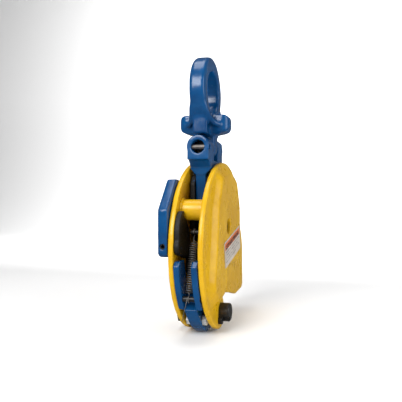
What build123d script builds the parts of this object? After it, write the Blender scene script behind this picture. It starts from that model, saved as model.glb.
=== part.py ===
"""Vertical lifting clamp: eye, swivel link, two round side plates, toothed jaw and lock lever.

Row frame: origin at the centre of the lifting eye's hole, +Z up, +X out of the labelled plate,
-Y towards the side where the lock cam and the jaw lever show.  All lengths are in millimetres.
The clamp's side view is drawn in a plane facing +X whose axes are Y and Z and whose centre is
the centre of the round side plates, so a point such as JAW_BOLT is (Y, Z) from that centre.
"""

import os
from math import atan2, cos, degrees, hypot, radians, sin, sqrt

from build123d import *

# ---- driving dimensions ------------------------------------------------------------------
BODY_R = 100.0          # round side plates
BODY_Y = 19.0           # plate centre from the eye's centre line
BODY_Z = -181.0         # plate centre below the eye's centre
GAP = 13.1              # half the clear width between the side plates
PLATE_T = 6.0           # plate thickness at the rim
RAISE = 7.0             # height of the pressed panel on the labelled plate
RAISE_SLOPE = 8.0       # width of its sloping edge
PANEL_WALL = 13.0       # solid margin left round the pocket behind the panel

EYE_R = 41.0
EYE_HOLE_R = 24.5
EYE_T = 18.6
EYE_PIN_Z = -66.3       # eye pin below the eye's centre
EYE_PIN_R = 7.45
LINK_HALF = 12.25       # half the width of the fork block
LUG_R = 13.0
BACK_LUG_R = 14.7
SLOT_HALF = 9.0         # half the fork's slot, along Y
LUG_FRONT = -36.0
LUG_BACK = 32.0

MAIN_SHAFT = (-10.4, 24.0)
MAIN_SHAFT_R = 9.0
JAW_BOLT = (-25.0, -74.0)
JAW_BOLT_R = 8.0
LOCK_SHAFT = (-89.0, 6.5)
LOCK_SHAFT_R = 6.0
KEEPER = (-33.0, -82.0)
KEEPER_R = 4.5
NEAR_TUBE = (-65.0, 44.4)
FAR_TUBE = (66.0, 44.0)
TUBE_R = 11.4
ANCHOR = (-65.0, 20.0)
SPRING_PIN = (-85.5, -49.0)
SPRING_PIN_R = 2.8
CLAMP_BOLT = (-56.0, -77.0)
CLAMP_BOLT_R = 3.0

SLOT_NEAR = -18.0       # jaw slot, near and far side
SLOT_FAR = 8.0
SLOT_SPRING_Z = -34.0   # where the slot's round top starts
JAW_FACE_R = 22.0       # toothed face of the jaw cam
JAW_FACE_C = (-19.0, -50.0)
HUB_R = 20.0            # jaw lever round the jaw bolt
WEB_HALF = 7.0          # half the jaw lever's width at its shank
TONGUE_HALF = 2.5       # jaw cam's tongue inside the lever
ARM_IN = 6.2
ARM_OUT = 12.8
PAD_Z = -48.5
PAD_R = 9.5
PAD_FACE = 4.5
TOOTH = 2.4             # pitch of the gripping teeth
RUN = 0.05              # radial running clearance

OUTER = GAP + PLATE_T   # outer face of a plate's rim
PANEL = OUTER + RAISE   # outer face of the raised panel


def side(x):
    """Plane facing +X, drawn in Y and Z from the centre of the round body."""
    return Plane(origin=(x, BODY_Y, BODY_Z), x_dir=(0, 1, 0), z_dir=(1, 0, 0))


def front(y):
    """Plane facing +Y, drawn in X and Z from the centre of the lifting eye."""
    return Plane(origin=(0, y, 0), x_dir=(-1, 0, 0), z_dir=(0, 1, 0))


def disc(centre, radius, x):
    """Round profile across X."""
    with BuildSketch(side(x)) as profile:
        with Locations(centre):
            Circle(radius)
    return profile.sketch


def polar(centre, radius, angle):
    """Point at an angle, in degrees, about a centre."""
    return (centre[0] + radius * cos(radians(angle)), centre[1] + radius * sin(radians(angle)))


def bar(label, centre, radius, x_low, x_high, bore=0.0, chamfered=0.0):
    """Round bar or tube along X, as a part of its own."""
    with BuildPart() as made:
        extrude(disc(centre, radius, x_low), amount=x_high - x_low)
        if chamfered:
            ends = made.edges().filter_by(GeomType.CIRCLE)
            chamfer(ends, chamfered)
        if bore:
            extrude(disc(centre, bore, x_low), amount=x_high - x_low, mode=Mode.SUBTRACT)
    return keep(made, label)


def keep(made, label):
    """Name a finished part and write its file."""
    made.part.label = label
    export_step(made.part, f"parts/{label}.step")
    return made.part


os.makedirs("parts", exist_ok=True)


# ---- lifting eye -------------------------------------------------------------------------
EYE_BASE_Z = -51.0
NECK_HALF = 8.7         # block under the ring, a little thinner than the ring
NECK_Y = 28.0
NECK_TOP_Z = -27.0
WING_X = 30.0
WING_Y = 13.0
WING_CORNER_R = 9.0
RIB_R = 3.2
RIB_PATH = [(6.0, -33.5, -15.0), (8.8, -29.5, -26.0), (11.3, -22.7, -34.0), (21.0, -12.0, -40.0)]
TANG_HALF = 8.75

with BuildPart() as lifting_eye:
    with BuildSketch(Plane(origin=(-EYE_T / 2, 0, 0), x_dir=(0, 1, 0), z_dir=(1, 0, 0))):
        Circle(EYE_R)
    extrude(amount=EYE_T)
    fillet(lifting_eye.edges().filter_by(GeomType.CIRCLE), 4.0)
    with BuildSketch(Plane(origin=(-NECK_HALF, 0, 0), x_dir=(0, 1, 0), z_dir=(1, 0, 0))):
        with Locations((0, (NECK_TOP_Z + EYE_BASE_Z) / 2)):
            Rectangle(2 * NECK_Y, NECK_TOP_Z - EYE_BASE_Z)
    extrude(amount=2 * NECK_HALF)
    # cross wings, rounded seen from the front, from above and from the side
    with BuildPart(mode=Mode.PRIVATE) as wings:
        with BuildSketch(front(-WING_Y)):
            with BuildLine():
                Polyline((0, EYE_BASE_Z), (11, EYE_BASE_Z), (21, -49), (27, -46.5),
                         (WING_X, -42), (WING_X, -33), (27.5, -28.5), (22, -27), (14, -27.5),
                         (10, -24), (EYE_T / 2, -15), (0, -15))
                mirror(about=Plane.YZ)
            make_face()
        extrude(amount=2 * WING_Y)
        with BuildSketch(Plane.XY.offset(EYE_BASE_Z - 1)):
            RectangleRounded(2 * WING_X, 2 * WING_Y, WING_CORNER_R)
        extrude(amount=60, mode=Mode.INTERSECT)
        with BuildSketch(Plane(origin=(-WING_X, 0, 0), x_dir=(0, 1, 0), z_dir=(1, 0, 0))):
            with Locations((0, EYE_BASE_Z + 30)):
                RectangleRounded(2 * WING_Y, 60, WING_CORNER_R)
        extrude(amount=2 * WING_X, mode=Mode.INTERSECT)
    add(wings.part)
    # curved ribs from the ring's faces down to the wings
    with BuildLine(mode=Mode.PRIVATE) as rib_path:
        Spline(*RIB_PATH)
    with BuildPart(mode=Mode.PRIVATE) as rib:
        with BuildSketch(Plane(origin=rib_path.line @ 0, z_dir=rib_path.line % 0)):
            Circle(RIB_R)
        sweep(path=rib_path.line)
    right_rib = rib.part
    for shape in (right_rib, right_rib.mirror(Plane.YZ), right_rib.mirror(Plane.XZ),
                  right_rib.mirror(Plane.YZ).mirror(Plane.XZ)):
        add(shape)
    with BuildSketch(front(-TANG_HALF)):
        with Locations((0, EYE_PIN_Z)):
            Circle(LUG_R - 0.6)
        with Locations((0, (EYE_PIN_Z + EYE_BASE_Z) / 2)):
            Rectangle(2 * (LUG_R - 0.6), EYE_BASE_Z - EYE_PIN_Z + 4)
    extrude(amount=2 * TANG_HALF)
    with BuildSketch(Plane(origin=(-40, 0, 0), x_dir=(0, 1, 0), z_dir=(1, 0, 0))):
        Circle(EYE_HOLE_R)
    extrude(amount=80, mode=Mode.SUBTRACT)
    with BuildSketch(front(-40)):
        with Locations((0, EYE_PIN_Z)):
            Circle(EYE_PIN_R + RUN)
    extrude(amount=80, mode=Mode.SUBTRACT)
keep(lifting_eye, "lifting_eye")


# ---- swivel link -------------------------------------------------------------------------
SHANK_HALF = 6.0
LINK_BOSS_R = 20.0
PIN_BORE_END = 29.0     # the pin's bore stops short of the back face
PIN_FRONT = -22.0       # the pin's sunk front end, behind the roll pin
ROLL_PIN_Y = -29.5
ROLL_PIN_R = 2.8
SLOT_FLOOR_Z = -80.0
TAPER_TOP_Z = -90.5
TAPER_LOW_Z = -97.0
GUIDE_RIVETS = [(-32.0, 72.0), (4.0, 72.0)]
RIVET_R = 3.0

with BuildPart() as link_fork:
    # fork block, seen from the front, with round lugs over the pin
    with BuildSketch(front(LUG_FRONT)):
        with Locations((0, EYE_PIN_Z)):
            Circle(LUG_R)
        with BuildLine():
            Polyline((SHANK_HALF, TAPER_LOW_Z), (LINK_HALF, TAPER_TOP_Z), (LINK_HALF, EYE_PIN_Z),
                     (-LINK_HALF, EYE_PIN_Z), (-LINK_HALF, TAPER_TOP_Z),
                     (-SHANK_HALF, TAPER_LOW_Z), close=True)
        make_face()
    extrude(amount=LUG_BACK - LUG_FRONT)
    # the back lug stands higher than the front one
    with BuildSketch(front(SLOT_HALF)):
        with Locations((0, EYE_PIN_Z)):
            Circle(BACK_LUG_R)
            Rectangle(40, 40, align=(Align.CENTER, Align.MAX), mode=Mode.SUBTRACT)
        with Locations((0, EYE_PIN_Z + BACK_LUG_R / 2)):
            Rectangle(2 * LINK_HALF, BACK_LUG_R, mode=Mode.INTERSECT)
    extrude(amount=LUG_BACK - SLOT_HALF)
    # the block is cut away under its front lug, where the neck begins
    with BuildSketch(side(-20)):
        with BuildLine():
            Polyline((-60, 100), (-50, 100), (-43, 92), (-42, 60), (-60, 60), close=True)
        make_face()
    extrude(amount=40, mode=Mode.SUBTRACT)
    # slot for the eye's tang
    with BuildSketch(front(-SLOT_HALF)):
        with Locations((0, SLOT_FLOOR_Z + 20)):
            Rectangle(40, 40)
    extrude(amount=2 * SLOT_HALF, mode=Mode.SUBTRACT)
    # flat shank down to the main shaft
    with BuildSketch(side(-SHANK_HALF)):
        with BuildLine():
            Polyline((-42, 86), (13, 86), (MAIN_SHAFT[0] + LINK_BOSS_R, MAIN_SHAFT[1] + 4),
                     (MAIN_SHAFT[0] - LINK_BOSS_R, MAIN_SHAFT[1] + 4), (-40, 52), close=True)
        make_face()
        with Locations(MAIN_SHAFT):
            Circle(LINK_BOSS_R)
    extrude(amount=2 * SHANK_HALF)
    extrude(disc(MAIN_SHAFT, MAIN_SHAFT_R + RUN, -20), amount=40, mode=Mode.SUBTRACT)
    for centre in GUIDE_RIVETS:
        extrude(disc(centre, RIVET_R, -20), amount=40, mode=Mode.SUBTRACT)
    with BuildSketch(front(LUG_FRONT)):
        with Locations((0, EYE_PIN_Z)):
            Circle(EYE_PIN_R + RUN)
    extrude(amount=PIN_BORE_END - LUG_FRONT, mode=Mode.SUBTRACT)
    with BuildSketch(Plane(origin=(-20, ROLL_PIN_Y, EYE_PIN_Z), x_dir=(0, 1, 0), z_dir=(1, 0, 0))):
        Circle(ROLL_PIN_R)
    extrude(amount=40, mode=Mode.SUBTRACT)
keep(link_fork, "link_fork")

with BuildPart() as eye_pin:
    with BuildSketch(front(PIN_FRONT)):
        with Locations((0, EYE_PIN_Z)):
            Circle(EYE_PIN_R)
    extrude(amount=PIN_BORE_END - PIN_FRONT)
    chamfer(eye_pin.edges(), 1.0)
keep(eye_pin, "eye_pin")


def roll_pin(label, plane, length, radius, wall=1.1, slit=0.8):
    """Slotted spring pin along the plane's normal."""
    with BuildPart() as made:
        with BuildSketch(plane):
            Circle(radius)
            Circle(radius - wall, mode=Mode.SUBTRACT)
            with Locations((0, -radius)):
                Rectangle(slit, 2 * radius, mode=Mode.SUBTRACT)
        extrude(amount=length)
    return keep(made, label)


FORK_PIN_HALF = 11.0
roll_pin("fork_roll_pin", Plane(origin=(-FORK_PIN_HALF, ROLL_PIN_Y, EYE_PIN_Z), x_dir=(0, 1, 0),
                                z_dir=(1, 0, 0)), 2 * FORK_PIN_HALF, ROLL_PIN_R)

# two black guide plates lie against the shank and centre it between the side plates
GUIDE_T = 5.8


def guide_plate(label, x):
    """Guide plate beside the link's shank."""
    with BuildPart() as made:
        with BuildSketch(side(x)) as profile:
            with BuildLine():
                Polyline((-45, 74), (-38, 83), (8, 83), (14, 74), (12, 22), (2, 6),
                         (-26, 6), (-45, 22), close=True)
            make_face()
            fillet(profile.vertices(), 4.0)
            with Locations(MAIN_SHAFT):
                Circle(MAIN_SHAFT_R + RUN, mode=Mode.SUBTRACT)
            with Locations(*GUIDE_RIVETS):
                Circle(RIVET_R, mode=Mode.SUBTRACT)
        extrude(amount=GUIDE_T)
    return keep(made, label)


guide_plate("guide_plate_left", -SHANK_HALF - GUIDE_T)
guide_plate("guide_plate_right", SHANK_HALF)

with BuildPart() as guide_rivets:
    for centre in GUIDE_RIVETS:
        extrude(disc(centre, RIVET_R, -SHANK_HALF - GUIDE_T), amount=2 * (SHANK_HALF + GUIDE_T))
keep(guide_rivets, "guide_rivets")


# ---- side plates -------------------------------------------------------------------------
LUG_EDGE_R = 20.0       # lug round the jaw bolt, where the round edge flattens a little
RIM_FILLET = 1.6


def plate_outline(x):
    """Round body with the jaw slot cut up from below and a deeper leg on the far side."""
    bolt_angle = degrees(atan2(JAW_BOLT[1], JAW_BOLT[0]))
    lug_meets_rim = polar(JAW_BOLT, LUG_EDGE_R, bolt_angle)
    flat_start = polar((0, 0), BODY_R, 212)
    lug_meets_slot = (SLOT_NEAR, JAW_BOLT[1] + sqrt(LUG_EDGE_R**2 - (SLOT_NEAR - JAW_BOLT[0])**2))
    far_top = polar((0, 0), BODY_R, 34)
    slot_mid = (SLOT_NEAR + SLOT_FAR) / 2
    slot_r = (SLOT_FAR - SLOT_NEAR) / 2
    with BuildSketch(side(x)) as outline:
        with BuildLine():
            ThreePointArc(far_top, polar((0, 0), BODY_R, 135), flat_start)
            ThreePointArc(flat_start, polar((0, 0), BODY_R - 0.55, 232), lug_meets_rim)
            ThreePointArc(lug_meets_rim, polar(JAW_BOLT, LUG_EDGE_R, -30), lug_meets_slot)
            Line(lug_meets_slot, (SLOT_NEAR, SLOT_SPRING_Z))
            ThreePointArc((SLOT_NEAR, SLOT_SPRING_Z), (slot_mid, SLOT_SPRING_Z + slot_r),
                          (SLOT_FAR, SLOT_SPRING_Z))
            Polyline((SLOT_FAR, SLOT_SPRING_Z), (SLOT_FAR, -58), (31, -62), (61, -69), (97, -67.5))
            ThreePointArc((97, -67.5), (103.2, -65), (106, -59))
            Spline((106, -59), (106.3, -25), (101, 4), (90.5, 22), (88, 40), far_top,
                   tangents=[(0, 1), (-sin(radians(34)), cos(radians(34)))])
        make_face()
    return outline.sketch


def panel_outline(x, grow):
    """Raised panel seen along X, grown outwards by its sloping edge."""
    with BuildSketch(side(x)) as outline:
        with BuildLine():
            Polyline((-40, 79), (0, 90), (38, 77), (55, 46), (55, -20), (-20, -20), (-20, -49),
                     (-52, -56), (-75, -42), (-64, 5), (-58, 44), close=True)
        make_face()
        fillet(outline.vertices(), 14)
        if grow:
            offset(amount=grow)
    return outline.sketch


def cut_slot():
    """Clear the jaw slot through everything that crosses it."""
    with BuildSketch(side(-40)) as slot:
        with Locations(((SLOT_NEAR + SLOT_FAR) / 2, SLOT_SPRING_Z)):
            Circle((SLOT_FAR - SLOT_NEAR) / 2)
        with Locations(((SLOT_NEAR + SLOT_FAR) / 2, SLOT_SPRING_Z - 9)):
            Rectangle(SLOT_FAR - SLOT_NEAR, 18)
    extrude(slot.sketch, amount=80, mode=Mode.SUBTRACT)


with BuildPart() as plate_left:
    extrude(plate_outline(-OUTER), amount=PLATE_T)
    rims = plate_left.edges().filter_by(lambda e: abs(e.center().X + OUTER) < 0.01)
    fillet(rims, RIM_FILLET)
    for centre, radius in ((MAIN_SHAFT, MAIN_SHAFT_R), (JAW_BOLT, JAW_BOLT_R),
                           (LOCK_SHAFT, LOCK_SHAFT_R + RUN)):
        extrude(disc(centre, radius, -40), amount=80, mode=Mode.SUBTRACT)
keep(plate_left, "plate_left")

with BuildPart() as plate_right:
    extrude(plate_outline(GAP), amount=PLATE_T)
    rims = plate_right.edges().filter_by(lambda e: abs(e.center().X - OUTER) < 0.01)
    fillet(rims, RIM_FILLET)
    loft([panel_outline(OUTER - 0.5, RAISE_SLOPE + 0.5), panel_outline(PANEL, 0)])
    panel_edges = plate_right.edges().filter_by(lambda e: abs(e.center().X - PANEL) < 0.01)
    fillet(panel_edges, 2.5)
    pocket = loft([panel_outline(GAP, RAISE_SLOPE - PANEL_WALL),
                   panel_outline(PANEL - PLATE_T, -PANEL_WALL)], mode=Mode.PRIVATE)
    add(pocket, mode=Mode.SUBTRACT)
    cut_slot()
    for centre, radius in ((MAIN_SHAFT, MAIN_SHAFT_R), (JAW_BOLT, JAW_BOLT_R)):
        extrude(disc(centre, radius, -40), amount=80, mode=Mode.SUBTRACT)
    extrude(disc(KEEPER, KEEPER_R * 0.6, OUTER - 4), amount=10, mode=Mode.SUBTRACT)
    extrude(disc(ANCHOR, 2.5, 0), amount=OUTER - 2, mode=Mode.SUBTRACT)
keep(plate_right, "plate_right")

bar("spacer_tube_near", NEAR_TUBE, TUBE_R, -GAP, GAP, bore=7.5)
bar("spacer_tube_far", FAR_TUBE, TUBE_R, -GAP, GAP, bore=7.5)
bar("spring_anchor", ANCHOR, 2.5, -4.5, OUTER - 2, chamfered=0.4)

# black cast block that stiffens the near leg behind the spring
with BuildPart() as near_block:
    with BuildSketch(side(-GAP)) as block_side:
        with BuildLine():
            Polyline((-56, -3), (-24, -3), (-21, -12), (-21, -22), (-30, -29), (-46, -33), (-56, -24),
                     close=True)
        make_face()
        fillet(block_side.vertices(), 3.0)
    extrude(amount=2 * GAP)
keep(near_block, "near_block")

# jaw block between the far legs, with its hardened round pad and the screw that holds it
PAD_SEAT = 22.0
PAD_SCREW_R = 3.0
BLOCK_BACK = 44.0


def jaw_plane(y):
    """Plane facing +Y at the pad's centre."""
    return Plane(origin=(0, BODY_Y + y, BODY_Z + PAD_Z), x_dir=(-1, 0, 0), z_dir=(0, 1, 0))


with BuildPart() as jaw_block:
    with BuildSketch(side(-GAP)):
        with BuildLine():
            Polyline((10.5, -28), (38, -28), (BLOCK_BACK, -40), (BLOCK_BACK, -58), (31, -61),
                     (10.5, -58), close=True)
        make_face()
    extrude(amount=2 * GAP)
    with BuildSketch(jaw_plane(0)):
        Circle(PAD_R)
    extrude(amount=PAD_SEAT, mode=Mode.SUBTRACT)
    with BuildSketch(jaw_plane(0)):
        Circle(PAD_SCREW_R)
    extrude(amount=60, mode=Mode.SUBTRACT)
keep(jaw_block, "jaw_block")

with BuildPart() as fixed_jaw_pad:
    with BuildSketch(jaw_plane(PAD_FACE + TOOTH / 2)):
        Circle(PAD_R)
    extrude(amount=PAD_SEAT - PAD_FACE - TOOTH / 2)
    teeth = int(2 * PAD_R / TOOTH)
    with BuildSketch(side(-PAD_R)) as ridges:
        for n in range(teeth):
            low = PAD_Z - teeth * TOOTH / 2 + n * TOOTH
            root = PAD_FACE + TOOTH / 2
            with BuildLine():
                Polyline((root + 1, low), (root, low), (PAD_FACE, low + TOOTH / 2),
                         (root, low + TOOTH), (root + 1, low + TOOTH), close=True)
            make_face()
    extrude(amount=2 * PAD_R)
    with BuildSketch(jaw_plane(0)):
        Circle(PAD_R)
    extrude(amount=PAD_SEAT, mode=Mode.INTERSECT)
    with BuildSketch(jaw_plane(PAD_SEAT)):
        Circle(PAD_SCREW_R)
    extrude(amount=-8, mode=Mode.SUBTRACT)
keep(fixed_jaw_pad, "fixed_jaw_pad")

with BuildPart() as pad_screw:
    with BuildSketch(jaw_plane(PAD_SEAT - 7)):
        Circle(PAD_SCREW_R)
    extrude(amount=BLOCK_BACK - PAD_SEAT + 7)
    with BuildSketch(jaw_plane(BLOCK_BACK)):
        Circle(5.5)
    extrude(amount=5)
    with BuildSketch(jaw_plane(BLOCK_BACK + 2)):
        RegularPolygon(2.8, 6)
    extrude(amount=4, mode=Mode.SUBTRACT)
keep(pad_screw, "pad_screw")

# main shaft, sunk in the labelled plate's hole and held by a ring outside the plain plate
RING_GROOVE = 1.3
RING_X = -OUTER - 0.1 - RING_GROOVE

with BuildPart() as main_shaft:
    extrude(disc(MAIN_SHAFT, MAIN_SHAFT_R, RING_X - 2), amount=PANEL - 4 - RING_X + 2)
    chamfer(main_shaft.edges().group_by(Axis.X)[0], 0.8)
    chamfer(main_shaft.edges().group_by(Axis.X)[-1], 0.8)
    with BuildSketch(side(RING_X)):
        with Locations(MAIN_SHAFT):
            Circle(MAIN_SHAFT_R + 1)
            Circle(MAIN_SHAFT_R - 1, mode=Mode.SUBTRACT)
    extrude(amount=RING_GROOVE, mode=Mode.SUBTRACT)
keep(main_shaft, "main_shaft")

with BuildPart() as shaft_ring:
    with BuildSketch(side(RING_X)):
        with Locations(MAIN_SHAFT):
            Circle(MAIN_SHAFT_R + 2)
            Circle(MAIN_SHAFT_R - 1, mode=Mode.SUBTRACT)
        with Locations((MAIN_SHAFT[0], MAIN_SHAFT[1] - MAIN_SHAFT_R)):
            Rectangle(6, 8, mode=Mode.SUBTRACT)
    extrude(amount=RING_GROOVE)
keep(shaft_ring, "shaft_ring")

# jaw bolt: round head notched for the keeper screw, nut and washer on the plain side
HEAD_R = 10.5
HEAD_T = 12.0
NUT_AF = 24.0
NUT_T = 9.0
WASHER_T = 2.0

with BuildPart() as jaw_bolt:
    extrude(disc(JAW_BOLT, HEAD_R, OUTER), amount=HEAD_T)
    fillet(jaw_bolt.edges().group_by(Axis.X)[-1], 2.2)
    extrude(disc(JAW_BOLT, JAW_BOLT_R, -OUTER - WASHER_T - NUT_T - 1), amount=2 * OUTER + 13)
    extrude(disc(KEEPER, KEEPER_R + 0.2, OUTER), amount=HEAD_T, mode=Mode.SUBTRACT)
keep(jaw_bolt, "jaw_bolt")

with BuildPart() as jaw_bolt_nut:
    with BuildSketch(side(-OUTER - WASHER_T - NUT_T)):
        with Locations(JAW_BOLT):
            RegularPolygon(NUT_AF / 2, 6, major_radius=False)
            Circle(JAW_BOLT_R, mode=Mode.SUBTRACT)
    extrude(amount=NUT_T)
keep(jaw_bolt_nut, "jaw_bolt_nut")
bar("jaw_bolt_washer", JAW_BOLT, 14.0, -OUTER - WASHER_T, -OUTER, bore=JAW_BOLT_R)

with BuildPart() as keeper_screw:
    extrude(disc(KEEPER, KEEPER_R, OUTER), amount=4.5)
    fillet(keeper_screw.edges().group_by(Axis.X)[-1], 0.8)
    extrude(disc(KEEPER, KEEPER_R * 0.6, OUTER - 4), amount=5)
    with BuildSketch(side(OUTER + 2.5)):
        with Locations(KEEPER):
            RegularPolygon(2.2, 6)
    extrude(amount=4, mode=Mode.SUBTRACT)
keep(keeper_screw, "keeper_screw")

LABEL_SIZE = (86.0, 30.0)
LABEL_TILT = 11.3
LABEL_T = 0.5

with BuildPart() as label_plate:
    with BuildSketch(side(PANEL)):
        with Locations(Location((8, -0.3), LABEL_TILT)):
            RectangleRounded(*LABEL_SIZE, 1.5)
    extrude(amount=LABEL_T)
keep(label_plate, "label_plate")


# ---- moving jaw --------------------------------------------------------------------------
BUSH_R = 11.0
LEVER_EDGE_R = 102.0    # the lever's edge follows the round body, a little proud of it
TONGUE_R = 15.0
TONGUE_PLAY = 0.3


def tongue(x, grow):
    """Jaw cam's tongue: round its bore, with a tail that ends half round the clamp bolt."""
    with BuildSketch(side(x)) as outline:
        with BuildLine():
            Polyline((-4, -62), (-8, -48), (-36, -48), (-46, -61), (-60, -68), (-58, -74.5),
                     (-54, -77), (-42, -83), JAW_BOLT, close=True)
        make_face()
        with Locations(JAW_BOLT):
            Circle(TONGUE_R)
        if grow:
            offset(amount=grow)
    return outline.sketch


def lever_web(x):
    """Hub and heel of the jaw lever, along the round edge of the body."""
    with BuildSketch(side(x)) as outline:
        with BuildLine():
            ThreePointArc(polar((0, 0), LEVER_EDGE_R, 249), polar((0, 0), LEVER_EDGE_R, 233),
                          polar((0, 0), LEVER_EDGE_R, 217.5))
            Polyline(polar((0, 0), LEVER_EDGE_R, 217.5), (-67, -46), (-46, -56), JAW_BOLT,
                     polar((0, 0), LEVER_EDGE_R, 249))
        make_face()
        with Locations(JAW_BOLT):
            Circle(HUB_R)
    return outline.sketch


def lever_arm(x):
    """One of the two arms that stand up either side of the spring."""
    with BuildSketch(side(x)) as outline:
        with BuildLine():
            ThreePointArc(polar((0, 0), LEVER_EDGE_R, 187.5), polar((0, 0), LEVER_EDGE_R, 202),
                          polar((0, 0), LEVER_EDGE_R, 217))
            Polyline(polar((0, 0), LEVER_EDGE_R, 217), (-70, -62), (-66, -46), (-82, -8.5),
                     (-96, -8.5), polar((0, 0), LEVER_EDGE_R, 187.5))
        make_face()
        fillet(outline.vertices().sort_by(Axis.Z)[-2:], 4.0)
    return outline.sketch


with BuildPart() as cam_lever:
    extrude(lever_web(-WEB_HALF), amount=2 * WEB_HALF)
    for x in (-ARM_OUT, ARM_IN):
        extrude(lever_arm(x), amount=ARM_OUT - ARM_IN)
    # closed slot for the jaw cam's tongue
    extrude(tongue(-TONGUE_HALF, TONGUE_PLAY), amount=2 * TONGUE_HALF, mode=Mode.SUBTRACT)
    for centre, radius in ((JAW_BOLT, BUSH_R), (SPRING_PIN, SPRING_PIN_R),
                           (CLAMP_BOLT, CLAMP_BOLT_R)):
        extrude(disc(centre, radius, -40), amount=80, mode=Mode.SUBTRACT)
keep(cam_lever, "cam_lever")


def jaw_nose(x):
    """Toothed nose outside the lever's hub; its teeth follow an arc off the bolt's centre."""
    teeth = 15
    step = 75 / teeth
    with BuildSketch(side(x)) as outline:
        with BuildLine():
            points = []
            for n in range(teeth):
                points.append(polar(JAW_FACE_C, JAW_FACE_R, 30 - n * step))
                points.append(polar(JAW_FACE_C, JAW_FACE_R - 1.3, 30 - (n + 0.5) * step))
            points.append(polar(JAW_FACE_C, JAW_FACE_R, -45))
            Polyline(*points, JAW_BOLT, (-41, -56), (-34, -42), points[0])
        make_face()
        with Locations(JAW_BOLT):
            Circle(HUB_R + 0.3, mode=Mode.SUBTRACT)
    return outline.sketch


NOSE_HALF = 11.5

with BuildPart() as jaw_cam:
    extrude(jaw_nose(-NOSE_HALF), amount=2 * NOSE_HALF)
    extrude(tongue(-TONGUE_HALF, 0), amount=2 * TONGUE_HALF)
    for centre, radius in ((JAW_BOLT, BUSH_R), (CLAMP_BOLT, CLAMP_BOLT_R)):
        extrude(disc(centre, radius, -40), amount=80, mode=Mode.SUBTRACT)
keep(jaw_cam, "jaw_cam")

bar("cam_bush", JAW_BOLT, BUSH_R, -ARM_OUT + 0.2, ARM_OUT - 0.2, bore=JAW_BOLT_R + RUN)
bar("spring_pin", SPRING_PIN, SPRING_PIN_R, -ARM_OUT + 0.3, ARM_OUT - 0.3, chamfered=0.4)

CLAMP_HEAD_T = 4.0
CLAMP_AF = 10.0

with BuildPart() as clamp_bolt:
    with BuildSketch(side(-WEB_HALF - CLAMP_HEAD_T)):
        with Locations(CLAMP_BOLT):
            RegularPolygon(CLAMP_AF / 2, 6, major_radius=False)
    extrude(amount=CLAMP_HEAD_T)
    extrude(disc(CLAMP_BOLT, CLAMP_BOLT_R, -WEB_HALF), amount=2 * WEB_HALF + 5.5)
keep(clamp_bolt, "clamp_bolt")

with BuildPart() as clamp_nut:
    with BuildSketch(side(WEB_HALF)):
        with Locations(CLAMP_BOLT):
            RegularPolygon(CLAMP_AF / 2, 6, major_radius=False)
            Circle(CLAMP_BOLT_R, mode=Mode.SUBTRACT)
    extrude(amount=5)
keep(clamp_nut, "clamp_nut")

# closing spring: close-wound coil body as a sleeve, with an eye hooked over each pin
SPRING_OD_R = 4.4
SPRING_WIRE_R = 0.7
EYE_LOOP_R = 3.8

run = (SPRING_PIN[0] - ANCHOR[0], SPRING_PIN[1] - ANCHOR[1])
reach = hypot(*run)
along = (run[0] / reach, run[1] / reach)
loop_gap = EYE_LOOP_R + SPRING_WIRE_R
coil_length = reach - 2 * loop_gap
coil_start = (ANCHOR[0] + along[0] * loop_gap, ANCHOR[1] + along[1] * loop_gap)

with BuildPart() as lock_spring:
    start = Plane(origin=(0, BODY_Y + coil_start[0], BODY_Z + coil_start[1]), x_dir=(1, 0, 0),
                  z_dir=(0, along[0], along[1]))
    with BuildSketch(start):
        Circle(SPRING_OD_R)
        Circle(SPRING_OD_R - 2 * SPRING_WIRE_R, mode=Mode.SUBTRACT)
    extrude(amount=coil_length)
    for centre in (ANCHOR, SPRING_PIN):
        with BuildSketch(side(-SPRING_WIRE_R)):
            with Locations(centre):
                Circle(EYE_LOOP_R + SPRING_WIRE_R)
                Circle(EYE_LOOP_R - SPRING_WIRE_R, mode=Mode.SUBTRACT)
        extrude(amount=2 * SPRING_WIRE_R)
    # the loops touch the coil's ends through short straight tails
    for end in (0, coil_length):
        with BuildSketch(start.offset(end - 1.0)):
            Rectangle(2 * SPRING_OD_R - 1, 2 * SPRING_WIRE_R)
        extrude(amount=2.0)
keep(lock_spring, "lock_spring")


# ---- lock lever --------------------------------------------------------------------------
LEVER_IN = -OUTER - 0.6
LEVER_OUT = -30.6
LEVER_BOSS_R = 11.0
LOCK_CAM_IN = -7.0
LOCK_CAM_OUT = -12.8
LOCK_SHAFT_END = -8.5
LOCK_CAM_R = 27.5
LOCK_CAM_C = (-70.0, 20.0)
LOCK_ROLL_PIN_R = 2.9
LOCK_PIN_X = (LEVER_IN + LEVER_OUT) / 2

with BuildPart() as lock_lever:
    with BuildSketch(side(LEVER_OUT)) as lever_side:
        with BuildLine():
            Polyline((-99, -2), (-99, 45), (-70, 78), (-55, 78), (-63, 62), (-79, 40), (-79, -2),
                     (-84, -5), (-94, -5), close=True)
        make_face()
        fillet(lever_side.vertices(), 3.0)
        with Locations(LOCK_SHAFT):
            Circle(LEVER_BOSS_R - 1)
    extrude(amount=LEVER_IN - LEVER_OUT)
    faces_x = lock_lever.edges().filter_by(lambda e: abs(e.center().X - LEVER_OUT) < 0.01)
    fillet(faces_x, 2.0)
    extrude(disc(LOCK_SHAFT, LOCK_SHAFT_R, -40), amount=40, mode=Mode.SUBTRACT)
    with BuildSketch(Plane(origin=(LOCK_PIN_X, BODY_Y - 105, BODY_Z + LOCK_SHAFT[1]),
                           x_dir=(1, 0, 0), z_dir=(0, 1, 0))):
        Circle(LOCK_ROLL_PIN_R)
    extrude(amount=105 + LOCK_SHAFT[0] + LOCK_SHAFT_R, mode=Mode.SUBTRACT)
keep(lock_lever, "lock_lever")

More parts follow.
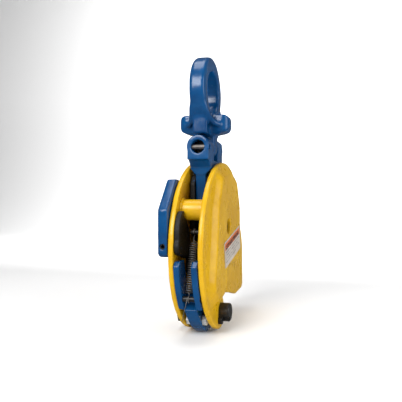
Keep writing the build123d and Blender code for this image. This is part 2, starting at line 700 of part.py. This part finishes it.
with BuildPart() as lock_shaft:
    extrude(disc(LOCK_SHAFT, LOCK_SHAFT_R, LEVER_OUT - 0.6), amount=LOCK_SHAFT_END - LEVER_OUT + 0.6)
    chamfer(lock_shaft.edges(), 0.6)
    with BuildSketch(Plane(origin=(LOCK_PIN_X, BODY_Y - 105, BODY_Z + LOCK_SHAFT[1]),
                           x_dir=(1, 0, 0), z_dir=(0, 1, 0))):
        Circle(LOCK_ROLL_PIN_R)
    extrude(amount=105 + LOCK_SHAFT[0] + LOCK_SHAFT_R, mode=Mode.SUBTRACT)
keep(lock_shaft, "lock_shaft")

roll_pin("lever_roll_pin", Plane(origin=(LOCK_PIN_X, BODY_Y + LOCK_SHAFT[0] - 8.5,
                                         BODY_Z + LOCK_SHAFT[1]), x_dir=(1, 0, 0),
                                 z_dir=(0, 1, 0)), 8.5 + LOCK_SHAFT_R - 0.5, LOCK_ROLL_PIN_R)

TUBE_CLEAR = 1.0
SWING_CLEAR_R = hypot(NEAR_TUBE[0] - LOCK_SHAFT[0], NEAR_TUBE[1] - LOCK_SHAFT[1]) \
    - TUBE_R - TUBE_CLEAR

with BuildPart() as lock_cam:
    with BuildSketch(side(LOCK_CAM_OUT)):
        with Locations(LOCK_CAM_C):
            Circle(LOCK_CAM_R)
        # keep only what passes inside the near tube as the cam swings, and the horn beyond it
        with BuildLine():
            Polyline((-130, -20), (-130, 43.5), (-77.5, 43.5), (-79, 36),
                     polar(LOCK_SHAFT, SWING_CLEAR_R, 68))
            ThreePointArc(polar(LOCK_SHAFT, SWING_CLEAR_R, 68), polar(LOCK_SHAFT, SWING_CLEAR_R, 20),
                          polar(LOCK_SHAFT, SWING_CLEAR_R, -40))
            Line(polar(LOCK_SHAFT, SWING_CLEAR_R, -40), (-130, -20))
        make_face(mode=Mode.INTERSECT)
        with Locations(LOCK_SHAFT):
            Circle(10.0)
        with Locations(NEAR_TUBE):
            Circle(TUBE_R + TUBE_CLEAR, mode=Mode.SUBTRACT)
    extrude(amount=LOCK_CAM_IN - LOCK_CAM_OUT)
    extrude(disc(LOCK_SHAFT, LOCK_SHAFT_R, LOCK_CAM_OUT), amount=LOCK_SHAFT_END - LOCK_CAM_OUT,
            mode=Mode.SUBTRACT)
keep(lock_cam, "lock_cam")
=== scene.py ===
"""Looks of the vertical lifting clamp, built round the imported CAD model.

Metres, in the row frame: origin at the lifting eye's hole, +Z up, +X out of the labelled plate,
-Y towards the lock cam and the jaw lever.  Painted and cast pieces are rounded copies of their
CAD nodes; the spring, the wire and the weld beads are made here.
"""
import math

import bmesh
import bpy
import numpy as np
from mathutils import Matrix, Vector, noise


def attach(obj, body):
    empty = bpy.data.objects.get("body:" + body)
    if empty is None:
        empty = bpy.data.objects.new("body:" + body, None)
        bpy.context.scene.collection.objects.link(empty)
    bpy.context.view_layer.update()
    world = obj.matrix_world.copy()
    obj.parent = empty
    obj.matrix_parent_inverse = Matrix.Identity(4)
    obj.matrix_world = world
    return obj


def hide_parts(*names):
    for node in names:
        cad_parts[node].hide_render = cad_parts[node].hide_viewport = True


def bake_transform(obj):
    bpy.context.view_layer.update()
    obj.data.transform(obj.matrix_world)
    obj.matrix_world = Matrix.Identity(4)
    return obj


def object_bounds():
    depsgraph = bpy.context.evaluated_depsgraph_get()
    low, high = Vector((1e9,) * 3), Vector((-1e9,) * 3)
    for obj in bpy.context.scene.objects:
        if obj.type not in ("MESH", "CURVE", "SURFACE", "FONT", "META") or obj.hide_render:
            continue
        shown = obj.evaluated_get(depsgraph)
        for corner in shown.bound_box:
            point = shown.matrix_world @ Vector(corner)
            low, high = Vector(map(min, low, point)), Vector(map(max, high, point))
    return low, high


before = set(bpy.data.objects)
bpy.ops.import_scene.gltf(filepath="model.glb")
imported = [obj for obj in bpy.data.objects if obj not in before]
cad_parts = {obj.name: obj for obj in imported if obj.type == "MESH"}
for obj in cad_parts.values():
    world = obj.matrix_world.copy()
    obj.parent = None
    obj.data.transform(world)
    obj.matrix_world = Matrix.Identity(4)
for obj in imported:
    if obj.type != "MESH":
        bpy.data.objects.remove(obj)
cad_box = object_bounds()

MM = 0.001
BODY_Y = 19 * MM            # centre of the round plates, from the eye's hole
BODY_Z = -181 * MM
FULL_TURN = 2 * math.pi


# ---- node helpers ------------------------------------------------------------------------
class Nodes:
    """Short hand for building one node material."""

    def __init__(self, name):
        self.mat = bpy.data.materials.new(name)
        self.mat.use_nodes = True
        self.tree = self.mat.node_tree
        self.shader = self.tree.nodes["Principled BSDF"]
        self.place = self.new("ShaderNodeTexCoord").outputs["Object"]

    def new(self, kind, **settings):
        node = self.tree.nodes.new(kind)
        for key, value in settings.items():
            setattr(node, key, value)
        return node

    def link(self, source, target):
        self.tree.links.new(source, target)

    def noise(self, scale, detail=4.0, rough=0.55):
        node = self.new("ShaderNodeTexNoise")
        node.inputs["Scale"].default_value = scale
        node.inputs["Detail"].default_value = detail
        node.inputs["Roughness"].default_value = rough
        self.link(self.place, node.inputs["Vector"])
        return node.outputs["Fac"]

    def ramp(self, source, stops):
        node = self.new("ShaderNodeValToRGB")
        ramp = node.color_ramp
        while len(ramp.elements) < len(stops):
            ramp.elements.new(0.5)
        for element, (at, colour) in zip(ramp.elements, stops):
            element.position = at
            value = colour if isinstance(colour, tuple) else (colour,) * 3
            element.color = (*value, 1)
        self.link(source, node.inputs["Fac"])
        return node.outputs["Color"]

    def mix(self, factor, first, second):
        node = self.new("ShaderNodeMix", data_type="RGBA")
        for socket, value in ((node.inputs[0], factor), (node.inputs[6], first),
                              (node.inputs[7], second)):
            if isinstance(value, tuple):
                socket.default_value = (*value, 1)
            elif isinstance(value, float):
                socket.default_value = value
            else:
                self.link(value, socket)
        return node.outputs[2]

    def map(self, source, low, high, out_low, out_high):
        node = self.new("ShaderNodeMapRange")
        node.inputs["From Min"].default_value = low
        node.inputs["From Max"].default_value = high
        node.inputs["To Min"].default_value = out_low
        node.inputs["To Max"].default_value = out_high
        self.link(source, node.inputs["Value"])
        return node.outputs["Result"]

    def math(self, operation, first, second):
        node = self.new("ShaderNodeMath", operation=operation)
        for socket, value in zip(node.inputs, (first, second)):
            if isinstance(value, float):
                socket.default_value = value
            else:
                self.link(value, socket)
        return node.outputs[0]

    def bump(self, *layers):
        """Stack bump layers, each (height source, distance in metres, strength)."""
        normal = None
        for source, distance, strength in layers:
            node = self.new("ShaderNodeBump")
            node.inputs["Distance"].default_value = distance
            node.inputs["Strength"].default_value = strength
            self.link(source, node.inputs["Height"])
            if normal:
                self.link(normal, node.inputs["Normal"])
            normal = node.outputs["Normal"]
        self.link(normal, self.shader.inputs["Normal"])

    def set(self, **values):
        for key, value in values.items():
            self.shader.inputs[key.replace("_", " ")].default_value = value


def enamel(name, deep, light, chip, chip_at, gloss, sheen):
    """Thick gloss enamel: uneven colour, orange peel, grime, worn edges and a few flecks.

    Edges chip where the noise is above chip_at; gloss is the range of roughness.
    """
    n = Nodes(name)
    broad = n.noise(22, 3)
    fine = n.noise(420, 3)
    colour = n.ramp(broad, [(0.30, deep), (0.72, light)])
    grime = n.map(n.noise(75, 6, 0.7), 0.50, 0.78, 0.0, 0.30)
    colour = n.mix(grime, colour, tuple(0.45 * c for c in deep))
    edge = n.new("ShaderNodeNewGeometry").outputs["Pointiness"]
    worn = n.math("MULTIPLY", n.map(edge, 0.56, 0.66, 0.0, 1.0),
                  n.map(n.noise(240, 5, 0.7), chip_at, chip_at + 0.06, 0.0, 1.0))
    fleck = n.map(n.noise(330, 2, 0.4), 0.83, 0.845, 0.0, 1.0)
    bare = n.math("MAXIMUM", worn, fleck)
    n.link(n.mix(bare, colour, chip), n.shader.inputs["Base Color"])
    rough = n.map(n.noise(60, 5, 0.6), 0.3, 0.7, *gloss)
    n.link(n.math("ADD", rough, n.math("MULTIPLY", bare, 0.35)), n.shader.inputs["Roughness"])
    n.set(Specular_IOR_Level=sheen)
    n.bump((broad, 0.0016, 0.35), (n.noise(110, 2), 0.00030, 0.5), (fine, 0.00003, 0.25),
           (n.math("MULTIPLY", bare, -1.0), 0.00015, 0.6))
    return n.mat


def metal(name, dark, light, rough, scale, metallic=1.0, pit=0.0002, rust=None):
    """Bare or plated metal with cloudy colour, scratches and pits."""
    n = Nodes(name)
    colour = n.ramp(n.noise(scale, 6, 0.65), [(0.3, dark), (0.7, light)])
    if rust:
        colour = n.mix(n.map(n.noise(scale * 1.7, 6, 0.7), 0.56, 0.70, 0.0, 0.85), colour, rust)
    n.link(colour, n.shader.inputs["Base Color"])
    n.link(n.map(n.noise(scale * 3, 5), 0.3, 0.7, *rough), n.shader.inputs["Roughness"])
    n.set(Metallic=metallic)
    n.bump((n.noise(scale * 2, 6, 0.7), pit, 0.6), (n.noise(900, 2), 0.00004, 0.3))
    return n.mat


def casting(name):
    """Rough sand-cast iron, blackened, with stray specks of blue paint; on the near block this
    black is painted shade.
    """
    n = Nodes(name)
    grain = n.noise(520, 5, 0.75)
    colour = n.ramp(n.noise(90, 6, 0.7),
                    [(0.3, (0.003, 0.003, 0.003)), (0.75, (0.016, 0.015, 0.013))])
    colour = n.mix(n.map(n.noise(150, 3, 0.5), 0.68, 0.72, 0.0, 0.7), colour, (0.010, 0.05, 0.17))
    n.link(colour, n.shader.inputs["Base Color"])
    n.link(n.map(grain, 0.3, 0.7, 0.42, 0.72), n.shader.inputs["Roughness"])
    n.set(Specular_IOR_Level=0.30)
    n.bump((n.noise(160, 5, 0.7), 0.0009, 0.6), (grain, 0.00022, 0.8))
    return n.mat


BLUE = enamel("blue_enamel", (0.0008, 0.034, 0.118), (0.0016, 0.074, 0.220), (0.16, 0.22, 0.33),
              0.66, gloss=(0.15, 0.28), sheen=0.38)
YELLOW = enamel("yellow_enamel", (0.560, 0.305, 0.004), (0.720, 0.430, 0.008),
                (0.13, 0.09, 0.045), 0.72, gloss=(0.22, 0.38), sheen=0.30)
BLACK_CAST_AND_SHADE = casting("black_casting_and_shade")
OXIDE = metal("black_oxide", (0.012, 0.012, 0.013), (0.045, 0.044, 0.043), (0.28, 0.48), 120,
              metallic=0.6, rust=(0.10, 0.055, 0.03))
DULL = metal("dull_steel", (0.10, 0.09, 0.08), (0.24, 0.22, 0.20), (0.42, 0.60), 160,
             metallic=0.7)
STEEL = metal("turned_steel", (0.16, 0.155, 0.15), (0.42, 0.41, 0.40), (0.22, 0.42), 160)
ZINC = metal("zinc_plate", (0.60, 0.60, 0.59), (0.86, 0.86, 0.85), (0.24, 0.40), 200,
             metallic=0.55)
WIRE = metal("spring_wire", (0.12, 0.115, 0.11), (0.20, 0.19, 0.18), (0.34, 0.46), 60,
             metallic=0.55)
BRONZE = metal("sintered_bronze", (0.30, 0.17, 0.06), (0.52, 0.33, 0.14), (0.35, 0.5), 300)


# ---- mesh helpers ------------------------------------------------------------------------
def add_piece(mesh, name, material):
    """New object for a finished mesh, smooth shaded."""
    piece = bpy.data.objects.new(name, mesh)
    bpy.context.scene.collection.objects.link(piece)
    mesh.materials.clear()
    mesh.materials.append(material)
    mesh.polygons.foreach_set("use_smooth", [True] * len(mesh.polygons))
    return piece


def apply_modifiers(piece):
    """Bake a piece's modifiers into its own mesh."""
    depsgraph = bpy.context.evaluated_depsgraph_get()
    mesh = bpy.data.meshes.new_from_object(piece.evaluated_get(depsgraph))
    piece.modifiers.clear()
    piece.data = mesh


def lump(mesh, depth, size, seed):
    """Push the surface in a little, unevenly, as thick paint or a rough casting is."""
    mesh.update()
    count = len(mesh.vertices)
    points = np.empty(count * 3)
    normals = np.empty(count * 3)
    mesh.vertices.foreach_get("co", points)
    mesh.vertices.foreach_get("normal", normals)
    points = points.reshape(-1, 3)
    shift = Vector((seed, seed * 0.7, -seed))
    wave = np.array([noise.noise(Vector(p) / size + shift) for p in points])
    depths = depth * np.clip(0.5 - 0.6 * wave, 0, 1)
    points -= normals.reshape(-1, 3) * depths[:, None]
    mesh.vertices.foreach_set("co", points.ravel())
    mesh.update()


def rounded_mesh(sources, voxel, passes, depth, size, seed, name):
    """One skin over some meshes, with every edge rounded as forging and paint leave it."""
    joined = bmesh.new()
    for source in sources:
        joined.from_mesh(source)
    mesh = bpy.data.meshes.new(name)
    joined.to_mesh(mesh)
    joined.free()
    work = bpy.data.objects.new(name + "_work", mesh)
    bpy.context.scene.collection.objects.link(work)
    remesh = work.modifiers.new("skin", "REMESH")
    remesh.mode = "VOXEL"
    remesh.voxel_size = voxel
    smooth = work.modifiers.new("round", "SMOOTH")
    smooth.factor = 0.5
    smooth.iterations = passes
    apply_modifiers(work)
    mesh = work.data
    bpy.data.objects.remove(work)
    lump(mesh, depth, size, seed)
    return mesh


def forged(node, body, material, voxel=0.9 * MM, passes=6, depth=0.25 * MM, size=9 * MM,
           extra=()):
    """Rounded copy of one CAD node with any extra meshes fused in, standing for it."""
    seed = sum(ord(letter) for letter in node) % 97
    sources = [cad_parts[node].data, *extra]
    mesh = rounded_mesh(sources, voxel, passes, depth, size, seed, node + "_skin")
    piece = add_piece(mesh, node + "_skin", material)
    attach(piece, body)
    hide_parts(node)


def paint(node, material):
    """Give a CAD node that stays its material and a fine bevel on its sharp edges."""
    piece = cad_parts[node]
    for index in range(len(piece.data.materials)):
        piece.material_slots[index].material = material
    bevel = piece.modifiers.new("edge", "BEVEL")
    bevel.width = 0.25 * MM
    bevel.segments = 2
    bevel.limit_method = "ANGLE"
    bevel.angle_limit = math.radians(35)


def body_point(y, z, x=0.0):
    """Row-frame point from millimetres about the centre of the round plates."""
    return Vector((x * MM, y * MM + BODY_Y, z * MM + BODY_Z))


def tube_mesh(points, radius, sides=10, name="tube"):
    """Round wire along a smooth list of points, closed at both ends."""
    mesh = bpy.data.meshes.new(name)
    shape = bmesh.new()
    rings = []
    side_way = None
    for index, point in enumerate(points):
        ahead = points[min(index + 1, len(points) - 1)]
        behind = points[max(index - 1, 0)]
        along = (ahead - behind).normalized()
        if side_way is None:
            side_way = along.orthogonal().normalized()
        side_way = (side_way - along * side_way.dot(along)).normalized()
        other = along.cross(side_way)
        ring = []
        for step in range(sides):
            angle = FULL_TURN * step / sides
            offset = side_way * math.cos(angle) + other * math.sin(angle)
            ring.append(shape.verts.new(point + offset * radius))
        rings.append(ring)
    for low, high in zip(rings, rings[1:]):
        for step in range(sides):
            after = (step + 1) % sides
            shape.faces.new((low[step], low[after], high[after], high[step]))
    shape.faces.new(list(reversed(rings[0])))
    shape.faces.new(rings[-1])
    bmesh.ops.recalc_face_normals(shape, faces=shape.faces)
    shape.to_mesh(mesh)
    shape.free()
    return mesh


# ---- painted forgings and plates ---------------------------------------------------------
def make_painted():
    forged("lifting_eye", "lifting_eye", BLUE, voxel=0.9 * MM, passes=26,
           depth=0.35 * MM, size=13 * MM)
    forged("link_fork", "swivel_link", BLUE, voxel=0.7 * MM, passes=12,
           depth=0.25 * MM)
    forged("cam_lever", "moving_jaw", BLUE, voxel=0.6 * MM, passes=10)
    # the lever keeps its die's parting line as a low ridge up its front edge
    ridge = tube_mesh([body_point(-98.5, z, -25.3) for z in (18, 24, 31, 38, 44)], 1.2 * MM, 8,
                      "ridge")
    forged("lock_lever", "lock", BLUE, voxel=0.65 * MM, passes=22, extra=[ridge])
    forged("plate_left", "clamp_body", YELLOW, voxel=0.95 * MM, passes=6,
           depth=0.22 * MM, size=14 * MM)
    forged("plate_right", "clamp_body", YELLOW, voxel=0.95 * MM, passes=16,
           depth=0.22 * MM, size=14 * MM)
    for node in ("spacer_tube_near", "spacer_tube_far", "jaw_block"):
        forged(node, "clamp_body", YELLOW, voxel=0.7 * MM, passes=4,
               depth=0.18 * MM)


def make_cast():
    forged("lock_cam", "lock", BLACK_CAST_AND_SHADE, voxel=0.6 * MM, passes=20, depth=0.3 * MM,
           size=5 * MM)
    for node in ("guide_plate_left", "guide_plate_right"):
        forged(node, "swivel_link", BLACK_CAST_AND_SHADE, voxel=0.7 * MM, passes=5)
    # the near block's black stands in for the shadow deep between the plates: painted shade
    forged("near_block", "clamp_body", BLACK_CAST_AND_SHADE, voxel=0.7 * MM, passes=6)


# ---- closing spring ----------------------------------------------------------------------
ANCHOR = body_point(-65.0, 20.0)
SPRING_PIN = body_point(-85.5, -49.0)
WIRE_R = 0.60 * MM
COIL_R = 3.8 * MM
LOOP_R = 3.6 * MM
UPPER_TAIL = 7.0 * MM       # straight wire between each hook and the coil
LOWER_TAIL = 2.6 * MM
TURNS = 23
TAIL_R = 0.34 * MM          # thin wire below the lower hook
COIL_STEPS = 20             # points in one turn of the coil
HOOK_STEPS = 18             # steps round one hook
HOOK_SWEEP = 300            # degrees of wire in one hook
COIL_NECK = 0.35            # how far the coil closes in at its ends


def spring_points():
    """Hook over the anchor, coil, hook over the lever's pin, as one wire."""
    along = (SPRING_PIN - ANCHOR).normalized()
    across = Vector((1, 0, 0))
    out = along.cross(across)
    reach = (SPRING_PIN - ANCHOR).length
    start = ANCHOR + along * (LOOP_R + UPPER_TAIL)
    length = reach - 2 * LOOP_R - UPPER_TAIL - LOWER_TAIL
    points = []
    for step in range(HOOK_STEPS + 1):                    # upper hook, from its open end
        angle = math.radians(60 + HOOK_SWEEP * step / HOOK_STEPS)
        points.append(ANCHOR + (along * math.cos(angle) + out * math.sin(angle)) * LOOP_R)
    total = TURNS * COIL_STEPS
    for step in range(total + 1):
        angle = FULL_TURN * step / COIL_STEPS
        ease = min(1.0, step / COIL_STEPS, (total - step) / COIL_STEPS)
        radius = COIL_R * (COIL_NECK + (1 - COIL_NECK) * ease)
        centre = start + along * (length * step / total)
        points.append(centre + (across * math.sin(angle) + out * math.cos(angle)) * radius)
    for step in range(HOOK_STEPS + 1):                    # lower hook
        angle = math.radians(180 + HOOK_SWEEP * step / HOOK_STEPS)
        points.append(SPRING_PIN + (along * math.cos(angle) - out * math.sin(angle)) * LOOP_R)
    return points


def make_spring():
    mesh = tube_mesh(spring_points(), WIRE_R, 8, "closing_spring")
    spring = add_piece(mesh, "closing_spring", WIRE)
    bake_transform(spring)
    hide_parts("lock_spring")
    tail_points = [SPRING_PIN + Vector((-1.0 * MM, -3.4 * MM, 2 * MM)), body_point(-90, -56, -2.6),
                   body_point(-86.5, -63, -5.4), body_point(-82, -69.5, -8.0),
                   body_point(-77, -75, -10.2)]
    tail = add_piece(tube_mesh(tail_points, TAIL_R, 8, "wire_tail"), "wire_tail", WIRE)
    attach(tail, "moving_jaw")


# ---- CAD pieces that stay ----------------------------------------------------------------
def paint_the_rest():
    for node in ("jaw_bolt", "jaw_bolt_nut", "jaw_bolt_washer", "keeper_screw", "pad_screw",
                 "eye_pin", "spring_anchor", "spring_pin", "lever_roll_pin"):
        paint(node, OXIDE)
    for node in ("clamp_bolt", "clamp_nut"):
        paint(node, ZINC)
    for node in ("guide_rivets", "fixed_jaw_pad", "main_shaft", "shaft_ring", "jaw_cam",
                 "lock_shaft"):
        paint(node, STEEL)
    paint("fork_roll_pin", DULL)
    paint("cam_bush", BRONZE)


# ---- label -------------------------------------------------------------------------------
LABEL_TILT = math.radians(11.3)
LABEL_CENTRE = (8.0, -0.3)
LABEL_SIZE = (86.0, 30.0)


def label_material():
    """Pale laminated label: orange band with a broken dark bar, and grey ruled bars under it."""
    n = Nodes("rating_label")
    turned = n.new("ShaderNodeMapping", vector_type="TEXTURE")
    turned.inputs["Location"].default_value = body_point(*LABEL_CENTRE)
    turned.inputs["Rotation"].default_value = (LABEL_TILT, 0, 0)
    turned.inputs["Scale"].default_value = (1, LABEL_SIZE[0] * MM, LABEL_SIZE[1] * MM)
    n.link(n.place, turned.inputs["Vector"])
    split = n.new("ShaderNodeSeparateXYZ")
    n.link(turned.outputs["Vector"], split.inputs[0])
    along, up = split.outputs["Y"], split.outputs["Z"]

    def band(source, low, high):
        above = n.math("GREATER_THAN", source, low)
        return n.math("MULTIPLY", above, n.math("LESS_THAN", source, high))

    def block(y_low, y_high, z_low, z_high):
        return n.math("MULTIPLY", band(along, y_low, y_high), band(up, z_low, z_high))

    paper = n.ramp(n.noise(60, 5), [(0.3, (0.48, 0.43, 0.37)), (0.7, (0.60, 0.55, 0.49))])
    colour = n.mix(block(-0.47, 0.47, 0.16, 0.44), paper, (0.62, 0.135, 0.025))
    words = n.map(n.noise(420, 1), 0.42, 0.46, 0.0, 1.0)
    colour = n.mix(n.math("MULTIPLY", block(-0.44, 0.40, 0.17, 0.34), words), colour,
                   (0.022, 0.014, 0.012))
    for row in range(4):
        height = 0.06 - 0.125 * row
        reach = (0.44, 0.30, 0.40, 0.18)[row]
        gaps = n.map(n.noise(700, 1), 0.47, 0.50, 0.0, 1.0)
        line = n.math("MULTIPLY", block(-0.44, reach, height - 0.025, height + 0.025), gaps)
        colour = n.mix(n.math("MULTIPLY", line, 0.85), colour, (0.05, 0.05, 0.05))
    n.link(colour, n.shader.inputs["Base Color"])
    n.link(n.map(n.noise(90, 4), 0.3, 0.7, 0.28, 0.45), n.shader.inputs["Roughness"])
    n.bump((n.noise(140, 4), 0.0003, 0.4))
    return n.mat


# ---- weld beads where the tubes meet the plates ------------------------------------------
PLATE_GAP = 13.1            # half the clear width between the plates, in millimetres
WELD_R = 11.6               # bead's centre line round a tube, in millimetres
WELD_SIZE = 1.5 * MM
WELD_STEPS = 96
WELD_RIPPLES = 26
RIPPLE = 0.25               # height of a ripple, in millimetres


def weld_ring(name, centre, radius, x, seed):
    """Rippled bead round a tube's end."""
    points = []
    for step in range(WELD_STEPS + 1):
        angle = FULL_TURN * step / WELD_STEPS
        ripple = RIPPLE * math.sin(WELD_RIPPLES * angle + seed)
        points.append(body_point(centre[0] + (radius + ripple) * math.cos(angle),
                                 centre[1] + (radius + ripple) * math.sin(angle), x))
    bead = add_piece(tube_mesh(points, WELD_SIZE, 10, name), name, YELLOW)
    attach(bead, "clamp_body")


def make_welds():
    for tube, centre in (("near", (-65.0, 44.4)), ("far", (66.0, 44.0))):
        for side_name, sign in (("left", -1), ("right", 1)):
            weld_ring(f"weld_{tube}_{side_name}", centre, WELD_R, sign * (PLATE_GAP - 0.5), sign)


make_painted()
make_cast()
make_spring()
paint_the_rest()
paint("label_plate", label_material())
make_welds()


# ---- stage, light and camera -------------------------------------------------------------
FLOOR_END = 1.4             # where the flat floor starts to sweep up, in metres
SWEEP_R = 0.8
SWEEP_STEPS = 12
WALL_TOP = 4.0


def make_floor():
    """Pale floor that sweeps up into a backdrop."""
    low = cad_box[0][2] - 0.2 * MM
    profile = [(-3.0, 0.0), (FLOOR_END, 0.0)]
    for step in range(1, SWEEP_STEPS + 1):
        angle = math.radians(90 * step / SWEEP_STEPS)
        profile.append((FLOOR_END + SWEEP_R * math.sin(angle), SWEEP_R * (1 - math.cos(angle))))
    profile.append((FLOOR_END + SWEEP_R, WALL_TOP))
    shape = bmesh.new()
    edges = [[shape.verts.new((x, y, low + z)) for y, z in profile] for x in (-4.0, 4.0)]
    for index in range(len(profile) - 1):
        shape.faces.new((edges[0][index], edges[1][index], edges[1][index + 1],
                         edges[0][index + 1]))
    mesh = bpy.data.meshes.new("floor")
    shape.to_mesh(mesh)
    shape.free()
    pale = bpy.data.materials.new("pale_floor")
    pale.use_nodes = True
    shader = pale.node_tree.nodes["Principled BSDF"]
    shader.inputs["Base Color"].default_value = (0.90, 0.90, 0.90, 1)
    shader.inputs["Roughness"].default_value = 0.8
    floor = add_piece(mesh, "floor", pale)
    floor.visible_glossy = False            # glossy paint mirrors the grey room, not the sweep


def make_light(name, place, target, size, power):
    """Soft square lamp aimed at a point."""
    lamp = bpy.data.lights.new(name, "AREA")
    lamp.size = size
    lamp.energy = power
    holder = bpy.data.objects.new(name, lamp)
    holder.location = place
    holder.rotation_euler = (Vector(target) - Vector(place)).to_track_quat("-Z", "Y").to_euler()
    bpy.context.scene.collection.objects.link(holder)


def make_camera():
    """Level camera, 15 degrees round towards the labelled plate."""
    lens = bpy.data.cameras.new("camera")
    lens.sensor_width = 36
    lens.lens = 44.2
    lens.shift_x = -0.0229
    lens.clip_start = 0.01
    camera = bpy.data.objects.new("camera", lens)
    camera.location = (155.3 * MM, -560.6 * MM, -127 * MM)
    camera.rotation_euler = (math.radians(90), 0, math.radians(15))
    bpy.context.scene.collection.objects.link(camera)
    bpy.context.scene.camera = camera


make_floor()
world = bpy.data.worlds.new("studio")
world.use_nodes = True
world.node_tree.nodes["Background"].inputs["Color"].default_value = (1, 1, 1, 1)
world.node_tree.nodes["Background"].inputs["Strength"].default_value = 0.17
bpy.context.scene.world = world
MIDDLE = (0, 0.01, -0.14)
make_light("key", (-0.30, -1.15, 0.55), MIDDLE, 0.7, 19)
make_light("fill", (1.25, -0.30, 0.25), MIDDLE, 0.9, 9.5)
make_light("top", (-0.1, 0.0, 1.3), MIDDLE, 0.8, 10)
make_light("backdrop", (0.0, 0.9, 0.9), (0, 2.2, 0.3), 1.5, 45)
make_camera()

bpy.context.scene.view_settings.view_transform = "Standard"
